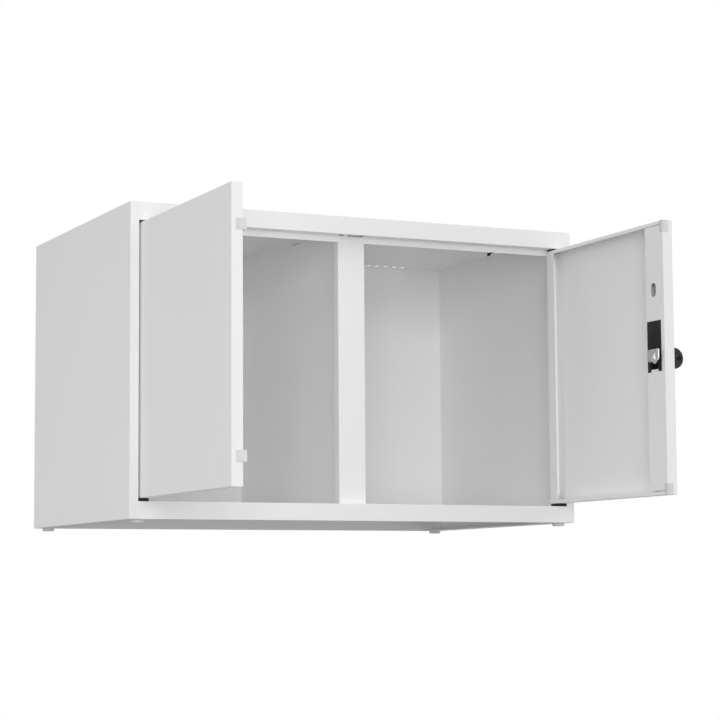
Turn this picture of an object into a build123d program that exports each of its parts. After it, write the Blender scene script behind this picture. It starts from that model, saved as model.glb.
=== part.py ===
"""Locker top unit: a sheet-steel cabinet with two compartments and two hinged doors, which stand open.

Millimetres. X runs to the right, Y from the front to the back and Z up.
The origin is the middle of the four feet, on the surface that they stand on.
"""

import os
from math import asin, cos, radians, sin

from build123d import *

# Carcass
WIDTH = 800.0
DEPTH = 500.0
HEIGHT = 500.0
SHEET = 1.0
FOOT_HEIGHT = 5.0
FOOT_R = 10.3
FOOT_INSET = 20.0
FOOT_PEG_R = 3.9
FOOT_PEG_LENGTH = 6.0
PEG_CLEARANCE = 0.1
BASE_FLANGE = 35.0
JAMB_WIDTH = 14.8
JAMB_LEG = 19.0
STOP_LIP = 13.2
HEADER_HEIGHT = 29.7
HEADER_LIP = 9.8
RAIL_HEIGHT = 28.0
RAIL_RETURN = 15.0
RECESS = 24.0
BACK_INSET = 12.0
JAMB_RELIEF = 1.2
BEND_R = 0.9

# Divider and centre post
POST_WIDTH = 47.8
POST_SHIFT = -6.1
POST_RETURN = 15.0
DIVIDER_THICKNESS = 24.0
DIVIDER_FLANGE = 10.0

# Vent slots in the roof
VENT_COUNT = 14
VENT_PITCH = 17.75
VENT_WIDTH = 8.0
VENT_LENGTH = 15.0
VENT_BACK = 24.0
VENT_CENTRE_X = 199.0

# Doors
DOOR_THICKNESS = 17.8
JAMB_GAP = 3.7
MEETING_GAP = 3.0
POST_CLEAR = 1.2
PIVOT_FROM_FACE = 10.5
PIVOT_FROM_EDGE = 9.5
HINGE_EDGE_R = 3.5
DOOR_LIP = 6.0
HINGE_LIP = 24.0
STIFFENER_MARGIN = 1.5
STIFFENER_GAP = 1.0
DOOR_PLAY = 0.3

# Hinges
BUSHING_BOTTOM = 4.6
BUSHING_TOP = 3.0
BUSHING_INNER = 4.0
BUSHING_SETBACK = 0.6
PIN_R = 3.0
PIN_PLAY = 0.06
PIN_IN_DOOR = 14.0
PIN_HEAD_R = 5.5
PIN_HEAD = 2.0
CUP_THICKNESS = 3.0
CUP_WIDTH = 17.0

# Buffers
BUMPER_HEIGHT = 16.8
BUMPER_FROM_END = 52.0
BUMPER_WRAP = 10.0
BUMPER_GAP = 0.5
BUFFER_EDGE = 0.8
BUFFER_BACK_FROM_FACE = 7.2
CORNER_HEIGHT = 18.6
CORNER_WRAP = 8.0

# Lock
LOCK_FROM_EDGE = 30.0
CASE_WIDTH = 40.0
CASE_BELOW = 22.0
CASE_ABOVE = 59.0
CASE_NOTCH_WIDTH = 20.0
CASE_NOTCH = 4.0
CASE_CLEARANCE = 0.2
OBLONG_WIDTH = 14.5
OBLONG_HEIGHT = 22.0
OBLONG_ABOVE = 108.5
ROSETTE_SETBACK = 1.0
ROSETTE = 4.0
ROSETTE_EDGE_R = 1.2
LUG_R = 16.8
LUG_REACH = 29.5
LUG_OFFSET = 5.5
LUG_THICKNESS = 4.0
SHACKLE_HOLE_R = 4.25
SHACKLE_FROM_FACE = 22.0
FIN_R = 16.4
FIN_THICKNESS = 9.4
FIN_HEEL = 1.8
FIN_LIFT = 0.3
SHAFT_R = 2.8
SHAFT_PLAY = 0.05
SKIN_HOLE_R = 5.0
CASE_FLOOR = 8.0
CRANK_R = 10.0
CRANK_THICKNESS = 3.0
CRANK_PIN_R = 2.0
CRANK_PIN_LENGTH = 4.1
CRANK_PLAY = 0.3
SCREW_R = 1.5
SCREW_HEAD_R = 2.9
SCREW_HEAD = 1.8
SCREW_INSET = 3.5
CRANK_SCREW_R = 1.5
CRANK_SCREW_HEAD_R = 3.6

# Bolt
BOLT_SHEET = 2.5
BOLT_HEIGHT = 19.5
BOLT_NECK_HEIGHT = 15.8
BOLT_LIFT = 2.7
BOLT_TRAVEL = 10.6
BOLT_NOSE_FROM_EDGE = 4.6
BOLT_NOSE_LENGTH = 25.9
BOLT_NOSE_OVERHANG = 3.8
BOLT_FOOT = 10.0
BOLT_BEHIND_POST = 0.3
BOLT_PLAY = 0.35
SLOT_PLAY = 0.35

# Small parts
CATCH_SLOT_X = 27.0
CATCH_SLOT_Y = 16.0
CATCH_FROM_FRONT = 4.0
CATCH_SHIFT = -3.5
CATCH_HEIGHT = 10.0
CATCH_RIM = 3.5
MAGNET_X = 20.0
MAGNET_Y = 10.0
MAGNET_Z = 4.0
CLIP_X = 3.0
CLIP_Y = 26.0
CLIP_Z = 4.8
CLIP_FROM_WALL = 19.0
CLIP_FORWARD = 8.0
TAB_Y = 35.0
TAB_Z = 2.0
TAB_X = 1.5
TAB_BELOW_ROOF = 9.0
TAB_FORWARD = 14.5

# Planes and lines of the carcass
half_width = WIDTH / 2
front = -DEPTH / 2
back = DEPTH / 2
base = FOOT_HEIGHT
top = base + HEIGHT
floor_top = base + RAIL_HEIGHT
header_bottom = top - HEADER_HEIGHT
lip_bottom = header_bottom - HEADER_LIP
ceiling = top - SHEET
wall_inner = half_width - SHEET
jamb_inner = half_width - JAMB_WIDTH
back_inner = back - BACK_INSET - SHEET
stop_face = front + RECESS
stop_back = stop_face + SHEET
post_left = POST_SHIFT - POST_WIDTH / 2
post_right = POST_SHIFT + POST_WIDTH / 2
post_back = stop_back + POST_RETURN
divider_half = DIVIDER_THICKNESS / 2

# Lines of the doors
pivot_x = jamb_inner - JAMB_GAP - PIVOT_FROM_EDGE
pivot_y = front + PIVOT_FROM_FACE
door_bottom = floor_top + BUSHING_BOTTOM + DOOR_PLAY
door_top = header_bottom - BUSHING_TOP - DOOR_PLAY
door_middle = (door_bottom + door_top) / 2
closed_hinge_edge = pivot_x + PIVOT_FROM_EDGE
right_meeting = post_right + POST_CLEAR
left_meeting = right_meeting - MEETING_GAP
right_door_width = closed_hinge_edge - right_meeting
left_door_width = closed_hinge_edge + left_meeting

# Levels through the lock, measured from the door's outer face towards the inside
crank_top = CASE_FLOOR + CRANK_PLAY + CRANK_THICKNESS
foot_low = crank_top + CRANK_PLAY
foot_high = foot_low + BOLT_SHEET
nose_low = RECESS + SHEET + BOLT_BEHIND_POST
nose_high = nose_low + BOLT_SHEET
crank_radius = BOLT_TRAVEL / 2 / sin(radians(45))
crank_reach = BOLT_TRAVEL / 2
bolt_low = door_middle + BOLT_LIFT - BOLT_HEIGHT / 2
bolt_high = bolt_low + BOLT_HEIGHT


def block(x0, x1, y0, y1, z0, z1):
    """A box between two corners."""
    size = Box(abs(x1 - x0), abs(y1 - y0), z1 - z0)
    return Pos((x0 + x1) / 2, (y0 + y1) / 2, (z0 + z1) / 2) * size


def rod(x, y, z0, z1, r):
    """An upright cylinder."""
    return Pos(x, y, (z0 + z1) / 2) * Cylinder(r, z1 - z0)


def four_corners(x, y):
    """The four places that mirror one another about the middle of the footprint."""
    return [(sx * x, sy * y) for sx in (-1, 1) for sy in (-1, 1)]


def bend(shape, direction, place, r=BEND_R):
    """Rounds the edges that run along one axis through a place, given as its two other coordinates."""
    def off(edge):
        x, y, z = edge.center()
        across = {Axis.X: (y, z), Axis.Y: (x, z), Axis.Z: (x, y)}[direction]
        return abs(across[0] - place[0]) + abs(across[1] - place[1])

    return fillet([edge for edge in shape.edges().filter_by(direction) if off(edge) < SHEET / 10], r)


class Door:
    """A door's own axes: w from its hinge edge, n inwards from its outer face, and z up. It stands open."""

    def __init__(self, side, width):
        self.side = side
        self.width = width
        self.outer_x = pivot_x + PIVOT_FROM_FACE
        self.hinge_edge_y = pivot_y + PIVOT_FROM_EDGE

    def x(self, n):
        return self.side * (self.outer_x - n)

    def y(self, w):
        return self.hinge_edge_y - w

    def block(self, w0, w1, n0, n1, z0, z1):
        return block(self.x(n0), self.x(n1), self.y(w0), self.y(w1), z0, z1)

    def cross_rod(self, w, z, n0, n1, r):
        """A cylinder square to the door's face."""
        middle = Pos(self.x((n0 + n1) / 2), self.y(w), z)
        return middle * (Rot(0, 90, 0) * Cylinder(r, n1 - n0))

    def upright_rod(self, w, n, z0, z1, r):
        return rod(self.x(n), self.y(w), z0, z1, r)

    def rounded(self, w0, w1, n0, n1, z0, z1, r):
        """A block whose outer edge at the hinge is rounded."""
        plain = self.block(w0, w1, n0, n1, z0, z1)
        return bend(plain, Axis.Z, (self.x(n0), self.y(w0)), r)


right = Door(1, right_door_width)
left = Door(-1, left_door_width)
lock_w = right.width - LOCK_FROM_EDGE
lock_z = door_middle
rosette_r = CASE_WIDTH / 2 - ROSETTE_SETBACK
stiffener_width = LOCK_FROM_EDGE + CASE_WIDTH / 2 + STIFFENER_MARGIN


def side_wall(side):
    """The outer skin, with its bottom edge turned in to carry the feet."""
    y0 = front + SHEET
    wall = block(side * wall_inner, side * half_width, y0, back, base, top)
    flange_inner = half_width - BASE_FLANGE
    wall += block(side * flange_inner, side * wall_inner, y0, back_inner, base, base + SHEET)
    for sign in (-1, 1):
        peg_x, peg_y = side * (half_width - FOOT_INSET), sign * (back - FOOT_INSET)
        wall -= rod(peg_x, peg_y, base - 1, base + 2 * SHEET, FOOT_PEG_R + PEG_CLEARANCE)
    for z in (base, top):
        wall = bend(wall, Axis.Y, (side * half_width, z))
    return wall


def jamb(side):
    """The folded front post beside a door: face, return, stop lip, and a leg along the side wall.

    Its inner edge is rounded over the doorway only, because below it is welded flush to the bottom rail.
    """
    face = block(side * jamb_inner, side * half_width, front, front + SHEET, floor_top, header_bottom)
    side_return = block(
        side * jamb_inner, side * (jamb_inner + SHEET), front + SHEET, stop_back, floor_top, header_bottom
    )
    post = bend(face + side_return, Axis.Z, (side * jamb_inner, front))
    tail = base + JAMB_RELIEF
    post += block(side * jamb_inner, side * half_width, front, front + SHEET, tail, floor_top)
    post += block(side * jamb_inner, side * (jamb_inner + SHEET), front + SHEET, stop_back, tail, floor_top)
    leg_inner, lip_inner = wall_inner - SHEET, jamb_inner - STOP_LIP
    leg_back = front + JAMB_LEG
    post += block(side * leg_inner, side * wall_inner, front + SHEET, leg_back, base + SHEET, header_bottom)
    post += block(side * lip_inner, side * jamb_inner, stop_face, stop_back, floor_top, header_bottom)
    return bend(post, Axis.Z, (side * half_width, front))


def vent_places():
    """The middle of each vent slot, in a row over each compartment."""
    y = back - VENT_BACK
    first = VENT_CENTRE_X - VENT_PITCH * (VENT_COUNT - 1) / 2
    return [(side * (first + k * VENT_PITCH), y) for side in (-1, 1) for k in range(VENT_COUNT)]


def roof_panel():
    sheet = block(-wall_inner, wall_inner, front + SHEET, back, ceiling, top)
    r = VENT_WIDTH / 2
    half = VENT_LENGTH / 2 - r
    for x, y in vent_places():
        sheet -= block(x - r, x + r, y - half, y + half, ceiling - 1, top + 1)
        for end in (-half, half):
            sheet -= rod(x, y + end, ceiling - 1, top + 1, r)
    return sheet


def header_rail():
    """The folded rail over the doors: face, underside, a stop lip turned down and a leg under the roof.

    Its lower edge is rounded over the doorway only, because its ends are welded flush to the jambs.
    """
    face = block(-jamb_inner, jamb_inner, front, front + SHEET, header_bottom, top)
    face += block(-jamb_inner, jamb_inner, front + SHEET, stop_back, header_bottom, header_bottom + SHEET)
    face = bend(face, Axis.X, (front, header_bottom))
    for side in (-1, 1):
        face += block(side * jamb_inner, side * half_width, front, front + SHEET, header_bottom, top)
    underside = block(-wall_inner, wall_inner, front + SHEET, stop_back, header_bottom, header_bottom + SHEET)
    lip_half = jamb_inner - STOP_LIP
    lip = block(-lip_half, lip_half, stop_face, stop_back, lip_bottom, header_bottom)
    leg = block(-wall_inner, wall_inner, front + SHEET, front + JAMB_LEG, ceiling - SHEET, ceiling)
    rail = face + underside + lip + leg
    rail -= block(
        CATCH_SHIFT - CATCH_SLOT_X / 2, CATCH_SHIFT + CATCH_SLOT_X / 2,
        front + CATCH_FROM_FRONT, front + CATCH_FROM_FRONT + CATCH_SLOT_Y,
        header_bottom - 1, header_bottom + 2 * SHEET,
    )
    for side in (-1, 1):
        rail -= rod(side * pivot_x, pivot_y, header_bottom - 1, header_bottom + 2 * SHEET, PIN_R + PIN_PLAY)
    for side in (-1, 1):
        rail = bend(rail, Axis.Z, (side * half_width, front))
    return bend(rail, Axis.X, (front, top))


def floor_panel():
    """The floor, folded down in front as the bottom rail and back under it as a return."""
    deck = block(-jamb_inner, jamb_inner, front + SHEET, stop_back, floor_top - SHEET, floor_top)
    deck += block(-wall_inner, wall_inner, stop_back, back_inner, floor_top - SHEET, floor_top)
    face = block(-jamb_inner, jamb_inner, front, front + SHEET, base, floor_top)
    return_half = half_width - BASE_FLANGE
    under = block(-return_half, return_half, front + SHEET, front + SHEET + RAIL_RETURN, base, base + SHEET)
    panel = deck + face + under
    for side in (-1, 1):
        panel -= rod(side * pivot_x, pivot_y, floor_top - 2 * SHEET, floor_top + 1, PIN_R + PIN_PLAY)
    for z in (base, floor_top):
        panel = bend(panel, Axis.X, (front, z))
    return panel


def back_panel():
    """A shallow pan, its edges turned backwards against the walls and the roof."""
    pan = block(-wall_inner, wall_inner, back_inner, back, base, ceiling)
    half = wall_inner - SHEET
    pan -= block(-half, half, back_inner + SHEET, back + 1, base + SHEET, ceiling - SHEET)
    return pan


def divider_skin(side):
    """One wall of the hollow divider, with a flange at the back."""
    outer = side * divider_half
    inner = side * (divider_half - SHEET)
    skin = block(inner, outer, stop_back, back_inner, floor_top, ceiling)
    skin += block(
        side * (divider_half - DIVIDER_FLANGE), inner, back_inner - SHEET, back_inner, floor_top, ceiling
    )
    return skin


def centre_post():
    """The folded channel in front of the divider. Its right return is slotted for the bolt."""
    post = block(post_left, post_right, stop_face, stop_back, floor_top, lip_bottom)
    for edge, inward, skin in ((post_left, 1, -divider_half), (post_right, -1, divider_half)):
        post += block(edge, edge + inward * SHEET, stop_back, post_back, floor_top, ceiling)
        post += block(edge + inward * SHEET, skin, post_back - SHEET, post_back, floor_top, ceiling)
    slot_margin = 3.0
    post -= block(
        post_right - 2 * SHEET, post_right + 1,
        stop_back, front + nose_high + slot_margin,
        bolt_low - slot_margin, bolt_high + slot_margin,
    )
    for x in (post_left, post_right):
        post = bend(post, Axis.Z, (x, stop_face))
    return post


def hinge_levels():
    """The two ends of each hinge line: the frame's face, the door's end, and the way from frame to door."""
    return ((floor_top, door_bottom, 1), (header_bottom, door_top, -1))


def hinge_bushings():
    """Black blocks that carry the doors, one at each end of each hinge line."""
    blocks = []
    for side in (-1, 1):
        for frame_z, door_z, way in hinge_levels():
            z0, z1 = sorted((frame_z, door_z - way * DOOR_PLAY))
            body = block(
                side * (pivot_x - BUSHING_INNER), side * jamb_inner,
                front + BUSHING_SETBACK, stop_face - BUSHING_SETBACK, z0, z1,
            )
            blocks.append(body - rod(side * pivot_x, pivot_y, z0 - 1, z1 + 1, PIN_R + PIN_PLAY))
    return Compound(children=blocks)


def hinge_pins():
    """Headed pins, from behind the frame through the bushing into the door."""
    pins = []
    for side in (-1, 1):
        for frame_z, door_z, way in hinge_levels():
            behind = frame_z - way * SHEET
            inside = door_z + way * PIN_IN_DOOR
            z0, z1 = sorted((behind, inside))
            pin = rod(side * pivot_x, pivot_y, z0, z1, PIN_R)
            h0, h1 = sorted((behind, behind - way * PIN_HEAD))
            pins.append(pin + rod(side * pivot_x, pivot_y, h0, h1, PIN_HEAD_R))
    return Compound(children=pins)


def feet():
    glides = []
    for x, y in four_corners(half_width - FOOT_INSET, back - FOOT_INSET):
        glides.append(rod(x, y, 0, base, FOOT_R) + rod(x, y, base, base + FOOT_PEG_LENGTH, FOOT_PEG_R))
    return Compound(children=glides)


def catch_box(grow, z0, z1):
    """A block over the catch's slot, larger than it by grow on every side."""
    y0 = front + CATCH_FROM_FRONT
    return block(
        CATCH_SHIFT - CATCH_SLOT_X / 2 - grow, CATCH_SHIFT + CATCH_SLOT_X / 2 + grow,
        y0 - min(grow, CATCH_FROM_FRONT - SHEET), y0 + CATCH_SLOT_Y + min(grow, CATCH_FROM_FRONT - SHEET),
        z0, z1,
    )


def magnet_block(z0, z1):
    y = front + CATCH_FROM_FRONT + CATCH_SLOT_Y / 2
    half_x, half_y = MAGNET_X / 2, MAGNET_Y / 2
    return block(CATCH_SHIFT - half_x, CATCH_SHIFT + half_x, y - half_y, y + half_y, z0, z1)


def magnet_catch():
    """The catch's housing: it sits on the header's underside and fills the slot there."""
    shelf = header_bottom + SHEET
    housing = catch_box(CATCH_RIM, shelf, shelf + CATCH_HEIGHT) + catch_box(-0.2, header_bottom + 0.2, shelf)
    return housing - magnet_block(header_bottom - 1, header_bottom + 0.5 + MAGNET_Z)


def catch_magnet():
    return magnet_block(header_bottom + 0.5, header_bottom + 0.5 + MAGNET_Z)


def ceiling_clip():
    x1 = wall_inner - CLIP_FROM_WALL
    y1 = CLIP_Y / 2 - CLIP_FORWARD
    return block(x1 - CLIP_X, x1, y1 - CLIP_Y, y1, ceiling - CLIP_Z, ceiling)


def divider_tab():
    z1 = ceiling - TAB_BELOW_ROOF
    y1 = TAB_Y / 2 - TAB_FORWARD
    return block(-divider_half - TAB_X, -divider_half, y1 - TAB_Y, y1, z1 - TAB_Z, z1)


def door_panel(door):
    """The door's outer skin with its four edges folded back, and lips folded in from three of them."""
    z0, z1, t = door_bottom, door_top, SHEET
    panel = door.rounded(0, door.width, 0, DOOR_THICKNESS, z0, z1, HINGE_EDGE_R)
    panel = fillet(panel.edges().filter_by(GeomType.LINE) + panel.edges().filter_by(GeomType.CIRCLE), BEND_R)
    panel -= door.rounded(t, door.width - t, t, DOOR_THICKNESS - t, z0 + t, z1 - t, HINGE_EDGE_R - t)
    panel -= door.block(
        HINGE_LIP, door.width - t, DOOR_THICKNESS - 2 * t, DOOR_THICKNESS + t, z0 + DOOR_LIP, z1 - DOOR_LIP
    )
    for end, way in ((z0, 1), (z1, -1)):
        h0, h1 = sorted((end - way * t, end + way * 2 * t))
        panel -= door.upright_rod(PIVOT_FROM_EDGE, PIVOT_FROM_FACE, h0, h1, PIN_R + PIN_PLAY)
    return panel


def stiffener(door):
    """The channel behind the door's free edge, flush with its lips."""
    z0 = door_bottom + DOOR_LIP + STIFFENER_GAP
    z1 = door_top - DOOR_LIP - STIFFENER_GAP
    w0 = door.width - stiffener_width
    web = door.block(w0, door.width - SHEET, DOOR_THICKNESS - SHEET, DOOR_THICKNESS, z0, z1)
    leg = door.block(w0, w0 + SHEET, SHEET, DOOR_THICKNESS - SHEET, z0, z1)
    return web + leg


def hinge_cups(door):
    """Thick plates inside the door's ends, which the hinge pins turn in."""
    plates = []
    for end, way in ((door_bottom, 1), (door_top, -1)):
        z0, z1 = sorted((end + way * SHEET, end + way * (SHEET + CUP_THICKNESS)))
        far, deep = SHEET + CUP_WIDTH, DOOR_THICKNESS - SHEET
        plate = door.rounded(SHEET, far, SHEET, deep, z0, z1, HINGE_EDGE_R - SHEET)
        hole = door.upright_rod(PIVOT_FROM_EDGE, PIVOT_FROM_FACE, z0 - 1, z1 + 1, PIN_R + PIN_PLAY)
        plates.append(plate - hole)
    return Compound(children=plates)


def edge_buffer(door, z0, z1, wrap, inner):
    """A buffer wrapped round the door's free edge and on to its inner face, up to the level called inner."""
    w = door.width
    on_edge = door.block(w, w + BUFFER_EDGE, BUFFER_BACK_FROM_FACE, inner, z0, z1)
    return on_edge + door.block(w - wrap, w, DOOR_THICKNESS, inner, z0, z1)


def left_bumpers():
    """Two buffers that rest on the centre post when the left door is shut."""
    inner = RECESS - BUMPER_GAP
    high = door_top - BUMPER_FROM_END
    low = door_bottom + BUMPER_FROM_END - BUMPER_HEIGHT
    low_one = edge_buffer(left, low, low + BUMPER_HEIGHT, BUMPER_WRAP, inner)
    return Compound(children=[low_one, edge_buffer(left, high - BUMPER_HEIGHT, high, BUMPER_WRAP, inner)])


def right_corner_buffers():
    inner = DOOR_THICKNESS + BUFFER_EDGE
    spans = [(door_bottom, door_bottom + CORNER_HEIGHT), (door_top - CORNER_HEIGHT, door_top)]
    return Compound(children=[edge_buffer(right, z0, z1, CORNER_WRAP, inner) for z0, z1 in spans])


def screw_places():
    half = CASE_WIDTH / 2 - SCREW_INSET
    return [lock_w - half, lock_w + half]


def case_outline(grow, n0, n1):
    """The lock case's shape through the door: a rectangle with a notch in its bottom edge."""
    half = CASE_WIDTH / 2
    low, high = lock_z - CASE_BELOW - grow, lock_z + CASE_ABOVE + grow
    notch = CASE_NOTCH_WIDTH / 2 - grow
    outline = right.block(lock_w - half - grow, lock_w + half + grow, n0, n1, low, high)
    return outline - right.block(lock_w - notch, lock_w + notch, n0 - 1, n1 + 1, low - 1, low + CASE_NOTCH)


def lock_stiffener():
    """The right door's stiffener, with its window for the lock case and an oblong hole above it."""
    channel = stiffener(right)
    channel -= case_outline(CASE_CLEARANCE, DOOR_THICKNESS - SHEET, DOOR_THICKNESS)
    n0, n1 = DOOR_THICKNESS - 2 * SHEET, DOOR_THICKNESS + 1
    r = OBLONG_WIDTH / 2
    straight = OBLONG_HEIGHT / 2 - r
    z = lock_z + OBLONG_ABOVE
    channel -= right.block(lock_w - r, lock_w + r, n0, n1, z - straight, z + straight)
    for end in (-1, 1):
        channel -= right.cross_rod(lock_w, z + end * straight, n0, n1, r)
    return channel


def lock_door_panel():
    panel = door_panel(right)
    panel -= right.cross_rod(lock_w, lock_z, -1, 2 * SHEET, SKIN_HOLE_R)
    for w in screw_places():
        panel -= right.cross_rod(w, lock_z, -1, 2 * SHEET, SCREW_R + PEG_CLEARANCE)
    return panel


def lock_case():
    """The black case inside the door: it guides the bolt and carries the knob's shaft."""
    case = case_outline(0, SHEET, DOOR_THICKNESS)
    out = DOOR_THICKNESS + 1
    bolt_near = right.width - BOLT_NOSE_FROM_EDGE - BOLT_NOSE_LENGTH + BOLT_TRAVEL
    pocket_near = bolt_near + BOLT_SHEET + BOLT_PLAY
    pocket_far = bolt_near - BOLT_TRAVEL - BOLT_FOOT - BOLT_PLAY
    low, high = bolt_low - BOLT_PLAY, bolt_high + BOLT_PLAY
    neck = (BOLT_HEIGHT - BOLT_NECK_HEIGHT) / 2
    case -= right.block(pocket_far, pocket_near, CASE_FLOOR, foot_high + BOLT_PLAY, low, high)
    case -= right.block(pocket_far, pocket_near, foot_high, out, low + neck, high - neck)
    well = CASE_NOTCH_WIDTH / 2
    floor = lock_z - CASE_BELOW + CASE_NOTCH
    case -= right.block(lock_w - well, lock_w + well, CASE_FLOOR, out, floor, low - SHEET)
    case -= right.cross_rod(lock_w, lock_z, CASE_FLOOR, foot_low, CRANK_R + BOLT_PLAY)
    case -= right.cross_rod(lock_w, lock_z, 0, CASE_FLOOR + 1, SHAFT_R + SHAFT_PLAY)
    for w in screw_places():
        case -= right.cross_rod(w, lock_z, 0, out, SCREW_R + PEG_CLEARANCE)
        under_head = DOOR_THICKNESS - SCREW_HEAD - PEG_CLEARANCE
        case -= right.cross_rod(w, lock_z, under_head, out, SCREW_HEAD_R + PEG_CLEARANCE)
    return case


def lock_screws():
    """Two screws from the inside, through the case and the door's skin into the rosette."""
    screws = []
    for w in screw_places():
        under_head = DOOR_THICKNESS - SCREW_HEAD - PEG_CLEARANCE
        shank = right.cross_rod(w, lock_z, 1.5 - ROSETTE, under_head, SCREW_R)
        screws.append(shank + right.cross_rod(w, lock_z, under_head, under_head + SCREW_HEAD, SCREW_HEAD_R))
    return Compound(children=screws)


def half_disc(w0, w1, r, reach, foot, heel):
    """A plate square to the door and upright, w0 to w1 thick: a half disc on a straight base.

    It stands from the level called foot out to reach, and is cut off below the lock's axis at heel.
    """
    centre_n = r - reach
    plate = right.block(w0, w1, centre_n, foot, lock_z - r, lock_z + r)
    middle = Pos(right.x(centre_n), right.y((w0 + w1) / 2), lock_z)
    plate += middle * (Rot(90, 0, 0) * Cylinder(r, w1 - w0))
    plate -= right.block(w0 - 1, w1 + 1, foot, foot + r, lock_z - r - 1, lock_z + r + 1)
    if heel < r:
        plate -= right.block(w0 - 1, w1 + 1, -reach - 1, foot + 1, lock_z - r - 1, lock_z - heel)
    hole = Pos(right.x(-SHACKLE_FROM_FACE), right.y((w0 + w1) / 2), lock_z)
    return plate - hole * (Rot(90, 0, 0) * Cylinder(SHACKLE_HOLE_R, w1 - w0 + 2))


def lock_rosette():
    """The plate on the door's face, with the fixed lug that a padlock's shackle goes through."""
    w0 = lock_w + LUG_OFFSET
    rosette = right.cross_rod(lock_w, lock_z, -ROSETTE, 0, rosette_r)
    rim = rosette.edges().sort_by(Axis.X)[-1]
    rosette = fillet(rim, ROSETTE_EDGE_R)
    rosette += half_disc(w0, w0 + LUG_THICKNESS, LUG_R, LUG_REACH, -ROSETTE, LUG_R)
    rosette -= right.cross_rod(lock_w, lock_z, -ROSETTE, 1, SHAFT_R + SHAFT_PLAY)
    for w in screw_places():
        rosette -= right.cross_rod(w, lock_z, 1 - ROSETTE, 1, SCREW_R + PEG_CLEARANCE)
    return rosette


def turn_knob():
    """The knob: its fin lies flat while the bolt is drawn back, on a shaft that goes through the door."""
    half = FIN_THICKNESS / 2
    reach = LUG_REACH - LUG_R + FIN_R
    upright_fin = half_disc(lock_w - half, lock_w + half, FIN_R, reach, -ROSETTE - FIN_LIFT, FIN_HEEL)
    axis = Axis((0, right.y(lock_w), lock_z), (1, 0, 0))
    fin = upright_fin.rotate(axis, -90)
    shaft = right.cross_rod(lock_w, lock_z, -ROSETTE - FIN_LIFT, CASE_FLOOR + CRANK_PLAY, SHAFT_R)
    bore = right.cross_rod(lock_w, lock_z, SHEET, CASE_FLOOR + CRANK_PLAY, CRANK_SCREW_R + PEG_CLEARANCE)
    return fin + shaft - bore


def crank_disc():
    """The disc on the shaft's inner end, with the pin that drives the bolt."""
    low = CASE_FLOOR + CRANK_PLAY
    disc = right.cross_rod(lock_w, lock_z, low, crank_top, CRANK_R)
    pin_w, pin_z = lock_w - crank_reach, lock_z + crank_reach
    disc += right.cross_rod(pin_w, pin_z, crank_top, crank_top + CRANK_PIN_LENGTH, CRANK_PIN_R)
    disc -= right.cross_rod(lock_w, lock_z, low - 1, crank_top, CRANK_SCREW_R + PEG_CLEARANCE)
    sink_r = CRANK_SCREW_HEAD_R + PEG_CLEARANCE
    return disc - right.cross_rod(lock_w, lock_z, low + SHEET, crank_top + 1, sink_r)


def crank_screw():
    head_low = CASE_FLOOR + CRANK_PLAY + SHEET
    shank = right.cross_rod(lock_w, lock_z, SHEET + PEG_CLEARANCE, head_low, CRANK_SCREW_R)
    return shank + right.cross_rod(lock_w, lock_z, head_low, crank_top - PEG_CLEARANCE, CRANK_SCREW_HEAD_R)


def lock_bolt():
    """The bolt: a foot under the case's edge, a neck, and a nose raised to pass behind the centre post."""
    near = right.width - BOLT_NOSE_FROM_EDGE
    neck_w = near - BOLT_NOSE_LENGTH
    inset = (BOLT_HEIGHT - BOLT_NECK_HEIGHT) / 2
    nose = right.block(neck_w - BOLT_NOSE_OVERHANG, near, nose_low, nose_high, bolt_low, bolt_high)
    neck = right.block(
        neck_w, neck_w + BOLT_SHEET, foot_low, nose_low, bolt_low + inset, bolt_high - inset
    )
    foot = right.block(neck_w - BOLT_FOOT, neck_w + BOLT_SHEET, foot_low, foot_high, bolt_low, bolt_high)
    half = CRANK_PIN_R + SLOT_PLAY
    slot_w = lock_w - crank_reach
    slot = right.block(
        slot_w - half, slot_w + half, foot_low - 1, foot_high + 1,
        lock_z + crank_reach - half, lock_z + crank_radius + half,
    )
    return nose + neck + foot - slot


def bolt_angle_error():
    """The most that the pin's true travel differs from a steady one, which the slot's play takes up."""
    steady = BOLT_TRAVEL / 90
    turn = 25
    return abs(crank_radius * sin(radians(turn)) - steady * turn)


pieces = {
    "left_side_wall": side_wall(-1),
    "right_side_wall": side_wall(1),
    "left_jamb": jamb(-1),
    "right_jamb": jamb(1),
    "roof_panel": roof_panel(),
    "header_rail": header_rail(),
    "floor_panel": floor_panel(),
    "back_panel": back_panel(),
    "divider_left_skin": divider_skin(-1),
    "divider_right_skin": divider_skin(1),
    "centre_post": centre_post(),
    "hinge_bushings": hinge_bushings(),
    "hinge_pins": hinge_pins(),
    "feet": feet(),
    "magnet_catch": magnet_catch(),
    "catch_magnet": catch_magnet(),
    "ceiling_clip": ceiling_clip(),
    "divider_tab": divider_tab(),
    "left_door_panel": door_panel(left),
    "left_door_stiffener": stiffener(left),
    "left_door_hinge_cups": hinge_cups(left),
    "left_door_bumpers": left_bumpers(),
    "right_door_panel": lock_door_panel(),
    "right_door_stiffener": lock_stiffener(),
    "right_door_hinge_cups": hinge_cups(right),
    "right_door_corner_buffers": right_corner_buffers(),
    "lock_case": lock_case(),
    "lock_screws": lock_screws(),
    "lock_rosette": lock_rosette(),
    "turn_knob": turn_knob(),
    "crank_disc": crank_disc(),
    "crank_screw": crank_screw(),
    "lock_bolt": lock_bolt(),
}

os.makedirs("parts", exist_ok=True)
for name, shape in pieces.items():
    export_step(shape, f"parts/{name}.step")

print("pivot", pivot_x, pivot_y, "doors", door_bottom, door_top, left_door_width, right_door_width)
print("lock axis y z", right.y(lock_w), lock_z, "bolt play left", SLOT_PLAY - bolt_angle_error())
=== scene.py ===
from math import cos, radians, sin

import bpy
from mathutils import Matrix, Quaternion, Vector


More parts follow.
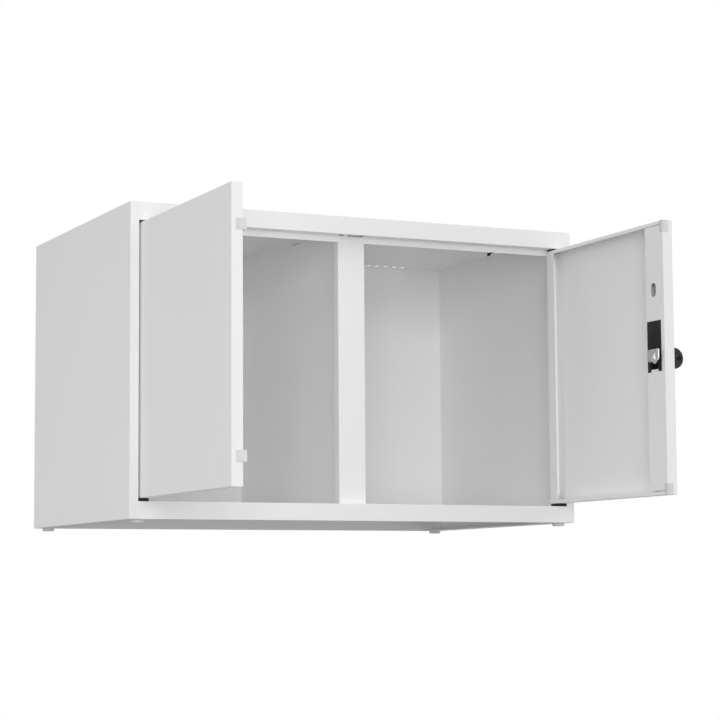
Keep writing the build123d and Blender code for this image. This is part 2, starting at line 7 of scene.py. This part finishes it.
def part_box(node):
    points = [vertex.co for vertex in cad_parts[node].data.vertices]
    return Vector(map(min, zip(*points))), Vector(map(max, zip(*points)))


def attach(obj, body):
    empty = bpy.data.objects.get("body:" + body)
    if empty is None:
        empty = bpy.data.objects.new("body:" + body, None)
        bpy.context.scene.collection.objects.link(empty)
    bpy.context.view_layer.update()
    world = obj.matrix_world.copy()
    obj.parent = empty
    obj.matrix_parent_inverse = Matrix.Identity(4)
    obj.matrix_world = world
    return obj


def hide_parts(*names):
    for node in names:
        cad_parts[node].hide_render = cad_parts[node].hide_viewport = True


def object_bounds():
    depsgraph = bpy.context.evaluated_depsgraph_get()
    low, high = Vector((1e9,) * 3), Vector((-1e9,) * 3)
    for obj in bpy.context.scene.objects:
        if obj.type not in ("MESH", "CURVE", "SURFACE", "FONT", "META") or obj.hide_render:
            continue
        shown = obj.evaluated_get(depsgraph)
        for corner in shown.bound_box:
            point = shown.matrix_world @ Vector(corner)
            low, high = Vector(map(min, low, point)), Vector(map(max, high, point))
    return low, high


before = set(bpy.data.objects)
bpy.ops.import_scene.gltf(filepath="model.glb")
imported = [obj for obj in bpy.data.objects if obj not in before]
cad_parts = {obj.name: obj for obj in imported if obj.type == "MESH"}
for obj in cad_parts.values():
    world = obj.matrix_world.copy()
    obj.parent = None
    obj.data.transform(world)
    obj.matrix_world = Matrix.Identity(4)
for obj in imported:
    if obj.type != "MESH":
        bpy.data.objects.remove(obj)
cad_low, cad_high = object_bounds()


# Cabinet body: side walls, jambs, roof, header, floor, back, divider skins and centre post.
# Steel sheet a millimetre thick, folded and spot-welded into one box, then powder-coated light grey all over.
# The baked powder leaves a faint orange peel, a little cloudiness in the gloss and fine specks in the grey.


class Term:
    """A value inside a finish. Sums written with it become maths nodes there."""

    def __init__(self, finish, socket):
        self.finish, self.socket = finish, socket

    def maths(self, operation, first, second):
        return self.finish.node("ShaderNodeMath", {"operation": operation}, {0: first, 1: second})

    def __add__(self, other):
        return self.maths("ADD", self, other)

    def __sub__(self, other):
        return self.maths("SUBTRACT", self, other)

    def __rsub__(self, other):
        return self.maths("SUBTRACT", other, self)

    def __mul__(self, other):
        return self.maths("MULTIPLY", self, other)

    def at_least(self, other):
        return self.maths("MAXIMUM", self, other)

    __radd__ = __add__
    __rmul__ = __mul__


class Finish:
    """A paint, a plastic, a plating or the studio's light, whose nodes are added one at a time."""

    def __init__(self, name, kind=bpy.data.materials):
        self.material = kind.new(name)
        self.material.use_nodes = True
        self.tree = self.material.node_tree
        self.tree.nodes.clear()

    @staticmethod
    def find(sockets, key):
        if isinstance(key, int):
            return sockets[key]
        return next(s for s in sockets if key in (s.identifier, s.name))

    def node(self, kind, settings=None, sockets=None, out=0):
        node = self.tree.nodes.new(kind)
        for name, value in (settings or {}).items():
            if name == "stops":
                ramp = node.color_ramp.elements
                while len(ramp) < len(value):
                    ramp.new(0.5)
                for stop, (position, shade) in zip(ramp, value):
                    stop.position, stop.color = position, (shade, shade, shade, 1)
            else:
                setattr(node, name, value)
        for key, value in (sockets or {}).items():
            socket = self.find(node.inputs, key)
            if isinstance(value, Term):
                self.tree.links.new(value.socket, socket)
            else:
                socket.default_value = value
        return None if out is None else Term(self, self.find(node.outputs, out))

    def noise(self, size, detail=2.0, stretch=(1, 1, 1)):
        """Soft noise about 0.5, whose lumps are size metres across."""
        here = self.node("ShaderNodeTexCoord", out="Object")
        scale = [k / size for k in stretch]
        place = self.node("ShaderNodeVectorMath", {"operation": "MULTIPLY"}, {0: here, 1: scale})
        return self.node("ShaderNodeTexNoise", None, {"Vector": place, "Scale": 1.0, "Detail": detail})

    def ramp(self, value, stops):
        return self.node("ShaderNodeValToRGB", {"stops": stops}, {"Fac": value})

    def mix(self, factor, first, second):
        return self.node(
            "ShaderNodeMix", {"data_type": "RGBA"},
            {"Factor_Float": factor, "A_Color": (*first, 1), "B_Color": (*second, 1)}, out="Result_Color",
        )

    def bump(self, height, distance, under=None):
        sockets = {"Height": height, "Distance": distance, "Strength": 1.0}
        if under:
            sockets["Normal"] = under
        return self.node("ShaderNodeBump", None, sockets, out="Normal")

    def surface(self, **sockets):
        """Ends the finish with its shader. A socket's name is written with underscores here."""
        named = {key.replace("_", " "): value for key, value in sockets.items()}
        shader = self.node("ShaderNodeBsdfPrincipled", None, named)
        self.node("ShaderNodeOutputMaterial", None, {"Surface": shader}, out=None)
        return self.material


def powder_coat(name, grey):
    coat = Finish(name)
    specks = coat.ramp(coat.noise(0.0009, 1.0), [(0.35, 0), (0.75, 1)])
    clouds = coat.noise(0.19, 3.0)
    shade = coat.mix(clouds * 0.6 + specks * 0.4, [k * 0.985 for k in grey], [k * 1.015 for k in grey])
    handled = coat.noise(0.06, 4.0, (1, 1, 0.35))
    peel = coat.noise(0.0034, 1.0)
    grain = coat.noise(0.0007, 1.0)
    normal = coat.bump(grain, 0.000004, coat.bump(peel, 0.00003))
    return coat.surface(
        Base_Color=shade, Roughness=handled * 0.12 + 0.34, Normal=normal, Specular_IOR_Level=0.45
    )


def dress(material, *nodes):
    """Gives CAD pieces a finish, slot by slot."""
    for name in nodes:
        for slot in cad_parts[name].material_slots:
            slot.material = material


COAT_GREY = (0.89, 0.89, 0.89)
grey_coat = powder_coat("grey_coat", COAT_GREY)
dress(
    grey_coat, "left_side_wall", "right_side_wall", "left_jamb", "right_jamb", "roof_panel", "header_rail",
    "floor_panel", "back_panel", "divider_left_skin", "divider_right_skin", "centre_post",
)

# Door sheets: two shallow pans folded from one sheet each, and a channel welded behind each free edge.
# They are coated together with the body, so they have its finish.
dress(grey_coat, "left_door_panel", "left_door_stiffener", "right_door_panel", "right_door_stiffener")


# Hinge bushings: four black nylon blocks in the doorway's corners, snapped into the frame.
# They hold the hinge pins, and are moulded with rounded corners and a fine eroded grain.
BUSHING_EDGE = 0.0009
WELD = 0.000002


def moulded(name, shade, roughness, gloss=0.5):
    plastic = Finish(name)
    grain = plastic.noise(0.0006, 2.0)
    flow = plastic.noise(0.02, 3.0)
    colour = plastic.mix(flow, [k * 0.85 for k in shade], [k * 1.15 for k in shade])
    return plastic.surface(
        Base_Color=colour, Roughness=flow * 0.12 + (roughness - 0.06), Normal=plastic.bump(grain, 0.00002),
        Specular_IOR_Level=gloss,
    )


def take_up(piece):
    """Makes one piece the only selected and active one."""
    bpy.ops.object.select_all(action="DESELECT")
    piece.select_set(True)
    bpy.context.view_layer.objects.active = piece


def apply_modifier(piece, kind, **settings):
    take_up(piece)
    modifier = piece.modifiers.new(kind.lower(), kind)
    for name, value in settings.items():
        setattr(modifier, name, value)
    bpy.ops.object.modifier_apply(modifier=modifier.name)


def rounded(piece, edge, segments=3):
    """Rounds every edge of a piece that is sharper than 35 degrees."""
    take_up(piece)
    bpy.ops.object.shade_smooth()
    apply_modifier(
        piece, "BEVEL", width=edge, segments=segments, limit_method="ANGLE", angle_limit=radians(35),
        harden_normals=True,
    )


def fit(piece, body, material, *nodes):
    """Gives a finished piece its material, hangs it on its body and puts it in the place of its CAD nodes."""
    piece.data.materials.clear()
    piece.data.materials.append(material)
    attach(piece, body)
    if nodes:
        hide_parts(*nodes)


def moulding(node, name, edge):
    """A copy of a CAD node's shape, with its triangles merged into whole faces and its edges rounded."""
    piece = bpy.data.objects.new(name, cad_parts[node].data.copy())
    bpy.context.scene.collection.objects.link(piece)
    take_up(piece)
    bpy.ops.object.mode_set(mode="EDIT")
    bpy.ops.mesh.select_all(action="SELECT")
    bpy.ops.mesh.remove_doubles(threshold=WELD)
    bpy.ops.mesh.dissolve_limited(angle_limit=radians(1))
    bpy.ops.object.mode_set(mode="OBJECT")
    rounded(piece, edge)
    return piece


black_plastic = moulded("black_plastic", (0.014, 0.014, 0.015), 0.5, 0.2)
bushings = moulding("hinge_bushings", "bushing_blocks", BUSHING_EDGE)
fit(bushings, "carcass", black_plastic, "hinge_bushings")


# Hinge pins and cups: zinc-plated steel pins through the frame, and the plates in the doors that they turn in.
# The small tab hooked on the divider is plated too. The plating is dull and brushed, with a faint spangle.
def plating(name, shade, roughness):
    plate = Finish(name)
    spangle = plate.noise(0.004, 4.0)
    colour = plate.mix(spangle, [k * 0.9 for k in shade], [min(1, k * 1.08) for k in shade])
    brushed = plate.noise(0.0008, 2.0, (1, 0.05, 1))
    return plate.surface(
        Base_Color=colour, Metallic=1.0, Roughness=spangle * 0.15 + (roughness - 0.07),
        Normal=plate.bump(brushed, 0.000004),
    )


zinc = plating("zinc", (0.62, 0.62, 0.64), 0.36)
dress(zinc, "hinge_pins", "left_door_hinge_cups", "right_door_hinge_cups", "divider_tab")

# Magnetic catch: a black housing in the header's underside, with the face of its magnet in the slot.
# A small black block beside it is painted shade: it stands in for the shadow inside the hollow above the centre
# post.
SHADE_BLOCK_LENGTH, SHADE_BLOCK_WIDTH, SHADE_BLOCK_PROUD, SHADE_BLOCK_FROM_SLOT, SHADE_BLOCK_EDGE = 0.0080, 0.0050, 0.0005, 0.0118, 0.0004
HOUSING_EDGE = 0.0006
fit(moulding("magnet_catch", "catch_housing", HOUSING_EDGE), "carcass", black_plastic, "magnet_catch")
dress(zinc, "catch_magnet")


def block(name, low, high):
    """A cube between two corners, its object at the origin."""
    bpy.ops.object.select_all(action="DESELECT")
    bpy.ops.mesh.primitive_cube_add(size=1, location=(Vector(low) + Vector(high)) / 2)
    piece = bpy.context.object
    piece.name = name
    piece.scale = Vector(high) - Vector(low)
    bpy.ops.object.transform_apply()
    return piece


catch_low, catch_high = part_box("catch_magnet")
header_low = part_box("right_jamb")[1].z
shade_block_end = catch_low.x - SHADE_BLOCK_FROM_SLOT
shade_block_middle = (catch_low.y + catch_high.y) / 2
# Painted shade: a black block where the hollow above the centre post is only in shadow.
shade_block = block(
    "painted_shade_block", (shade_block_end - SHADE_BLOCK_LENGTH, shade_block_middle - SHADE_BLOCK_WIDTH / 2, header_low - SHADE_BLOCK_PROUD),
    (shade_block_end, shade_block_middle + SHADE_BLOCK_WIDTH / 2, header_low + SHADE_BLOCK_PROUD),
)
rounded(shade_block, SHADE_BLOCK_EDGE)
fit(shade_block, "carcass", black_plastic)

# Ceiling clip: a black clip under the roof beside the right wall, pushed up into the roof sheet.
# It is one moulding, a flat bar with a short leg at its back end.
CLIP_BAR, CLIP_LEG, CLIP_EDGE = 0.0022, 0.0080, 0.0005


def open_faces(piece, wanted):
    """Opens a piece for editing with the wanted faces selected, told by their middle and normal."""
    take_up(piece)
    bpy.context.tool_settings.mesh_select_mode = (False, False, True)
    for elements in (piece.data.vertices, piece.data.edges, piece.data.polygons):
        elements.foreach_set("select", [False] * len(elements))
    for face in piece.data.polygons:
        face.select = wanted(face.center, face.normal)
    bpy.ops.object.mode_set(mode="EDIT")


clip_low, clip_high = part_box("ceiling_clip")
clip = block("roof_clip", (clip_low.x, clip_high.y - CLIP_LEG, clip_low.z), clip_high)
take_up(clip)
bpy.ops.object.mode_set(mode="EDIT")
bpy.ops.mesh.select_all(action="SELECT")
bpy.ops.mesh.bisect(plane_co=(0, 0, clip_high.z - CLIP_BAR), plane_no=(0, 0, 1))
bpy.ops.object.mode_set(mode="OBJECT")
open_faces(clip, lambda middle, normal: normal.y < -0.9 and middle.z > clip_high.z - CLIP_BAR)
reach = clip_low.y - (clip_high.y - CLIP_LEG)
bpy.ops.mesh.extrude_region_move(TRANSFORM_OT_translate={"value": (0, reach, 0)})
bpy.ops.object.mode_set(mode="OBJECT")
rounded(clip, CLIP_EDGE)
fit(clip, "carcass", black_plastic, "ceiling_clip")

# Feet: four round glides of pale plastic, pushed into the base flanges with a peg.
# The rim that meets the locker is rounded, and the sole inside it is dished.
FOOT_R, FOOT_RIM, PEG_R = 0.0103, 0.0011, 0.0039
SOLE_INSET, SOLE_DISH = 0.0035, 0.0007
FOOT_SIDES = 64
pale_plastic = moulded("pale_plastic", (0.74, 0.74, 0.73), 0.5)
feet_low, feet_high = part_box("feet")
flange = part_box("left_side_wall")[0].z
foot_places = [
    (x, y)
    for x in (feet_low.x + FOOT_R, feet_high.x - FOOT_R)
    for y in (feet_low.y + FOOT_R, feet_high.y - FOOT_R)
]


bpy.ops.object.select_all(action="DESELECT")
bpy.ops.mesh.primitive_cylinder_add(
    vertices=FOOT_SIDES, radius=FOOT_R, depth=flange, location=(*foot_places[0], flange / 2)
)
bpy.ops.object.transform_apply()
glide = bpy.context.object
open_faces(glide, lambda middle, normal: normal.z > 0.9)
bpy.ops.mesh.inset(thickness=FOOT_R - PEG_R)
bpy.ops.mesh.extrude_region_move(TRANSFORM_OT_translate={"value": (0, 0, feet_high.z - flange)})
bpy.ops.object.mode_set(mode="OBJECT")
rounded(glide, FOOT_RIM, 4)
open_faces(glide, lambda middle, normal: normal.z < -0.999)
bpy.ops.mesh.inset(thickness=SOLE_INSET)
bpy.ops.transform.translate(value=(0, 0, SOLE_DISH))
bpy.ops.object.mode_set(mode="OBJECT")
for number, (x, y) in enumerate(foot_places):
    foot = glide.copy()
    foot.data = glide.data.copy()
    foot.name = f"foot_{number + 1}"
    bpy.context.scene.collection.objects.link(foot)
    foot.location = (x - foot_places[0][0], y - foot_places[0][1], 0)
    take_up(foot)
    bpy.ops.object.transform_apply()
    fit(foot, "carcass", pale_plastic, "feet")
bpy.data.objects.remove(glide)

# Door buffers: grey soft plastic caps, pressed over the doors' free edges.
# The left door's pair rests on the centre post, and the right door has one in each corner.
BUMPER_EDGE, CAP_EDGE = 0.0010, 0.0004
grey_rubber = moulded("grey_rubber", (0.7, 0.7, 0.71), 0.6)
bumpers = moulding("left_door_bumpers", "edge_bumpers", BUMPER_EDGE)
fit(bumpers, "left_door", grey_rubber, "left_door_bumpers")
caps = moulding("right_door_corner_buffers", "corner_caps", CAP_EDGE)
fit(caps, "right_door", grey_rubber, "right_door_corner_buffers")

# Lock case: a black moulding set into a window of the right door's stiffener, with the bolt's pocket in it.
# Its screws and the crank disc on the knob's shaft sit inside, and the screws have cross recesses.
CASE_EDGE, DISC_EDGE = 0.0005, 0.0003
HEAD_EDGE, CROSS_WIDTH, CROSS_DEPTH, CROSS_REACH, HEAD_OVERLAP = 0.0004, 0.0009, 0.0011, 0.66, 0.9
fit(moulding("lock_case", "case_moulding", CASE_EDGE), "right_door", black_plastic, "lock_case")
fit(moulding("crank_disc", "crank_moulding", DISC_EDGE), "knob", black_plastic, "crank_disc")


def cross_rod(start, end, r, sides=32):
    """A cylinder along X between two places."""
    bpy.ops.object.select_all(action="DESELECT")
    bpy.ops.mesh.primitive_cylinder_add(
        vertices=sides, radius=r, depth=abs(end[0] - start[0]),
        location=(Vector(start) + Vector(end)) / 2, rotation=(0, radians(90), 0),
    )
    bpy.ops.object.transform_apply()
    return bpy.context.object


def cross_screw(name, face, head_r, head, end_x, shank_r):
    """A screw along X whose head faces the cabinet's inside. Its face is at the place given."""
    x, y, z = face
    screw = cross_rod(face, (x + head, y, z), head_r)
    rounded(screw, HEAD_EDGE)
    reach = head_r * CROSS_REACH
    for half_y, half_z in ((reach, CROSS_WIDTH / 2), (CROSS_WIDTH / 2, reach)):
        cutter = block(
            "cutter", (x - CROSS_DEPTH, y - half_y, z - half_z), (x + CROSS_DEPTH, y + half_y, z + half_z)
        )
        apply_modifier(screw, "BOOLEAN", operation="DIFFERENCE", solver="EXACT", object=cutter)
        bpy.data.objects.remove(cutter)
    shank = cross_rod((x + head * HEAD_OVERLAP, y, z), (end_x, y, z), shank_r, 16)
    screw.select_set(True)
    shank.select_set(True)
    bpy.context.view_layer.objects.active = screw
    bpy.ops.object.join()
    screw.name = name
    return screw


HEAD_R, HEAD, SHANK_R = 0.0029, 0.0018, 0.0015
black_steel = plating("black_steel", (0.05, 0.05, 0.052), 0.45)
screws_low, screws_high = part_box("lock_screws")
screws_z = (screws_low.z + screws_high.z) / 2
for name, y in (("case_screw_far", screws_high.y - HEAD_R), ("case_screw_near", screws_low.y + HEAD_R)):
    screw = cross_screw(name, (screws_low.x, y, screws_z), HEAD_R, HEAD, screws_high.x, SHANK_R)
    fit(screw, "right_door", black_steel, "lock_screws")
CRANK_HEAD_R, CRANK_FLOOR = 0.0036, 0.001
crank_low, crank_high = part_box("crank_screw")
crank_place = (crank_low.x, (crank_low.y + crank_high.y) / 2, (crank_low.z + crank_high.z) / 2)
crank_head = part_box("crank_disc")[1].x - crank_low.x - CRANK_FLOOR
screw = cross_screw("crank_fixing", crank_place, CRANK_HEAD_R, crank_head, crank_high.x, SHANK_R)
fit(screw, "knob", black_steel, "crank_screw")

# Bolt: bright zinc-plated steel, a folded foot and neck with a flat nose welded on, clear of the case.
# A gusset is pressed into the nose, whose lower free corner is cut round, and a washer is riveted behind it.
BOLT_SHEET, FOLD_R, BOLT_EDGE = 0.0025, 0.0022, 0.0004
NOSE_LENGTH, NOSE_OVERHANG = 0.0259, 0.0038
NOSE_CORNERS = {(-1, -1): 0.0075, (-1, 1): 0.0012, (1, -1): 0.0030, (1, 1): 0.0015}
NEAR = 0.00005
bolt_zinc = plating("bolt_zinc", (0.80, 0.81, 0.82), 0.25)
bolt_low, bolt_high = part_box("lock_bolt")
bolt_z = (bolt_low.z + bolt_high.z) / 2
neck_y = bolt_low.y + NOSE_LENGTH - BOLT_SHEET / 2
foot_x, nose_x = bolt_high.x - BOLT_SHEET / 2, bolt_low.x + BOLT_SHEET / 2


def upright_sheet(name, x, y, z, length, height):
    """A flat sheet across X, about a middle place, still without thickness."""
    bpy.ops.object.select_all(action="DESELECT")
    bpy.ops.mesh.primitive_plane_add(size=1, location=(x, y, z), rotation=(0, radians(90), 0))
    sheet = bpy.context.object
    sheet.name = name
    sheet.scale = (height, length, 1)
    bpy.ops.object.transform_apply()
    return sheet


def open_edges(piece, wanted):
    """Opens a piece for editing with the wanted edges selected, told by their two ends."""
    take_up(piece)
    bpy.context.tool_settings.mesh_select_mode = (False, True, False)
    for elements in (piece.data.vertices, piece.data.edges, piece.data.polygons):
        elements.foreach_set("select", [False] * len(elements))
    for edge in piece.data.edges:
        edge.select = wanted(*[piece.data.vertices[v].co for v in edge.vertices])
    bpy.ops.object.mode_set(mode="EDIT")


def thicken(piece):
    """Gives a sheet of the bolt its thickness and softens its edges."""
    take_up(piece)
    bpy.ops.object.mode_set(mode="EDIT")
    bpy.ops.mesh.select_all(action="SELECT")
    bpy.ops.mesh.normals_make_consistent(inside=False)
    bpy.ops.object.mode_set(mode="OBJECT")
    apply_modifier(piece, "SOLIDIFY", thickness=BOLT_SHEET, offset=0)
    rounded(piece, BOLT_EDGE)


strip = upright_sheet(
    "bolt_strip", foot_x, (neck_y + bolt_high.y) / 2, bolt_z, bolt_high.y - neck_y, bolt_high.z - bolt_low.z
)
open_edges(strip, lambda a, b: max(a.y, b.y) < neck_y + NEAR)
bpy.ops.mesh.extrude_region_move(TRANSFORM_OT_translate={"value": (nose_x - foot_x, 0, 0)})
bpy.ops.object.mode_set(mode="OBJECT")
fold = Vector((foot_x, neck_y))
open_edges(strip, lambda a, b: (a.xy - fold).length + (b.xy - fold).length < NEAR)
bpy.ops.mesh.bevel(offset=FOLD_R, segments=6, affect="EDGES")
bpy.ops.object.mode_set(mode="OBJECT")
thicken(strip)
fit(strip, "bolt", bolt_zinc, "lock_bolt")

nose_length = NOSE_LENGTH + NOSE_OVERHANG
nose_y = bolt_low.y + nose_length / 2
nose = upright_sheet("bolt_nose", nose_x, nose_y, bolt_z, nose_length, bolt_high.z - bolt_low.z)
for (side_y, side_z), radius in NOSE_CORNERS.items():
    take_up(nose)
    bpy.context.tool_settings.mesh_select_mode = (True, False, False)
    corner = max(nose.data.vertices, key=lambda v: side_y * v.co.y + side_z * v.co.z)
    for elements in (nose.data.edges, nose.data.polygons):
        elements.foreach_set("select", [False] * len(elements))
    for v in nose.data.vertices:
        v.select = v.index == corner.index
    bpy.ops.object.mode_set(mode="EDIT")
    bpy.ops.mesh.bevel(offset=radius, segments=6, affect="VERTICES")
    bpy.ops.object.mode_set(mode="OBJECT")
thicken(nose)
fit(nose, "bolt", bolt_zinc, "lock_bolt")

GUSSET_SINK, GUSSET_EDGE = 0.0003, 0.0003
gusset_points = [
    (GUSSET_SINK, 0.0095, 0.0155),
    (GUSSET_SINK, 0.0220, 0.0015),
    (GUSSET_SINK, 0.0060, 0.0015),
    (-0.0030, 0.0110, 0.0060),
]
bpy.ops.object.select_all(action="DESELECT")
bpy.ops.mesh.primitive_cone_add(vertices=3, radius1=0.01, depth=0.01)
gusset = bpy.context.object
gusset.name = "bolt_gusset"
bpy.ops.object.transform_apply()
corners = sorted(gusset.data.vertices, key=lambda v: v.co.z > 0)
for corner, place in zip(corners, gusset_points):
    corner.co = bolt_low + Vector(place)
take_up(gusset)
bpy.ops.object.mode_set(mode="EDIT")
bpy.ops.mesh.select_all(action="SELECT")
bpy.ops.mesh.normals_make_consistent(inside=False)
bpy.ops.object.mode_set(mode="OBJECT")
rounded(gusset, GUSSET_EDGE)
fit(gusset, "bolt", bolt_zinc)

WASHER_R, WASHER, WASHER_FROM_TIP, WASHER_RISE = 0.0058, 0.0012, 0.0148, 0.0022
washer_start = Vector((bolt_low.x + BOLT_SHEET, bolt_low.y + WASHER_FROM_TIP, bolt_low.z + WASHER_RISE))
washer = cross_rod(washer_start, washer_start + Vector((WASHER, 0, 0)), WASHER_R)
washer.name = "bolt_washer"
rounded(washer, BOLT_EDGE)
fit(washer, "bolt", bolt_zinc)

# Padlock knob: a satin black rosette with a fixed lug on the door's face, and the knob in front of it.
# Both are nylon mouldings with softened edges. A shackle goes through both when they are in line.
ROSETTE_EDGE, KNOB_EDGE = 0.0006, 0.0009
knob_plastic = moulded("knob_plastic", (0.018, 0.018, 0.02), 0.42, 0.3)
rosette = moulding("lock_rosette", "rosette_moulding", ROSETTE_EDGE)
fit(rosette, "right_door", knob_plastic, "lock_rosette")
fit(moulding("turn_knob", "knob_moulding", KNOB_EDGE), "knob", knob_plastic, "turn_knob")

# Floor: a pale matt studio floor that keeps the cabinet's shadow and fades into the white round it.
# It shows only from above, because the photograph was taken from under the cabinet's base.
FLOOR_RADIUS = 6.0
FADE_FROM, FADE_TO = 1.6, 4.5
bpy.ops.object.select_all(action="DESELECT")
bpy.ops.mesh.primitive_circle_add(vertices=96, radius=FLOOR_RADIUS, fill_type="NGON", location=(0, -0.1, 0))
floor = bpy.context.object
floor.name = "studio_floor"
bpy.ops.object.transform_apply()
paint = Finish("floor_white")
facing = paint.node("ShaderNodeNewGeometry", out="Backfacing")
camera_ray = paint.node("ShaderNodeLightPath", out="Is Camera Ray")
glossy_ray = paint.node("ShaderNodeLightPath", out="Is Glossy Ray")
here = paint.node("ShaderNodeTexCoord", out="Object")
far = paint.node("ShaderNodeVectorMath", {"operation": "LENGTH"}, {0: here}, out="Value")
fade = paint.node("ShaderNodeMapRange", None, {"Value": far, "From Min": FADE_FROM, "From Max": FADE_TO})
seen = (camera_ray + glossy_ray) * (1 - facing) * (1 - fade)
matt = paint.node("ShaderNodeBsdfDiffuse", None, {"Color": (0.86, 0.86, 0.86, 1)})
clear = paint.node("ShaderNodeBsdfTransparent")
blend = paint.node("ShaderNodeMixShader", None, {0: seen, 1: clear, 2: matt})
paint.node("ShaderNodeOutputMaterial", None, {"Surface": blend}, out=None)
floor.data.materials.append(paint.material)

# Studio: a white surround for the camera and for glossy surfaces, and soft light from above and from the right.
# One softbox stands in front to the left, level with the doorway, and a weaker one low on the left.
FROM_ABOVE, FROM_BELOW, FROM_RIGHT, FROM_LEFT = 1.16, 0.14, 0.95, 0.13
KEY_AZIMUTH, KEY_HEIGHT, KEY_DISTANCE, KEY_SIDE, KEY_WATTS = radians(20), radians(2), 4.8, 2.0, 91
FILL_HEIGHT, FILL_DISTANCE, FILL_SIDE, FILL_WATTS = radians(-20), 3.2, 1.6, 17
surround = Finish("studio", bpy.data.worlds)
bpy.context.scene.world = surround.material
direction = surround.node("ShaderNodeTexCoord", out="Generated")
rightwards = surround.node("ShaderNodeSeparateXYZ", None, {0: direction}, out="X")
upwards = surround.node("ShaderNodeSeparateXYZ", None, {0: direction}, out="Z")
strength = upwards.at_least(0) * FROM_ABOVE + (0 - upwards).at_least(0) * FROM_BELOW
strength = strength + rightwards.at_least(0) * FROM_RIGHT + (0 - rightwards).at_least(0) * FROM_LEFT
even = surround.node("ShaderNodeBackground", None, {"Color": (1, 1, 1, 1), "Strength": strength})
white = surround.node("ShaderNodeBackground", None, {"Color": (1, 1, 1, 1), "Strength": 1.0})
looked_at = surround.node("ShaderNodeLightPath", out="Is Camera Ray") + surround.node(
    "ShaderNodeLightPath", out="Is Glossy Ray"
)
both = surround.node("ShaderNodeMixShader", None, {0: looked_at, 1: even, 2: white})
surround.node("ShaderNodeOutputWorld", None, {"Surface": both}, out=None)
middle = (cad_low + cad_high) / 2


def softbox(name, azimuth, height, distance, side, watts):
    """A square lamp that faces the cabinet. Azimuth 0 is straight in front, and it grows to the left."""
    away = Vector((-sin(azimuth) * cos(height), -cos(azimuth) * cos(height), sin(height)))
    lamp = bpy.data.lights.new(name, "AREA")
    lamp.shape, lamp.size, lamp.energy = "SQUARE", side, watts
    box = bpy.data.objects.new(name, lamp)
    bpy.context.scene.collection.objects.link(box)
    box.location = middle + away * distance
    box.rotation_euler = (-away).to_track_quat("-Z", "Y").to_euler()


softbox("key_box", KEY_AZIMUTH, KEY_HEIGHT, KEY_DISTANCE, KEY_SIDE, KEY_WATTS)
softbox("left_box", radians(90), FILL_HEIGHT, FILL_DISTANCE, FILL_SIDE, FILL_WATTS)
bpy.context.scene.cycles.diffuse_bounces = 12

# Camera: low, in front and to the left, looking up a little, as the photograph was taken.
# Its place and its turn come from fitting the cabinet's edges, and the lens has no shift.
YAW, PITCH, ROLL = radians(25.422), radians(6.038), radians(-0.398)
FOCAL_PIXELS, FRAME_PIXELS, SENSOR = 2202.7, 720, 36.0
lens = bpy.data.cameras.new("camera")
lens.sensor_width = SENSOR
lens.lens = FOCAL_PIXELS / FRAME_PIXELS * SENSOR
camera = bpy.data.objects.new("camera", lens)
bpy.context.scene.collection.objects.link(camera)
bpy.context.scene.camera = camera
camera.location = (-1.5429, -3.4906, -0.1113)
forward = Vector((sin(YAW) * cos(PITCH), cos(YAW) * cos(PITCH), sin(PITCH)))
camera.rotation_mode = "QUATERNION"
camera.rotation_quaternion = forward.to_track_quat("-Z", "Y") @ Quaternion((0, 0, 1), ROLL)

bpy.context.scene.view_settings.view_transform = "Standard"
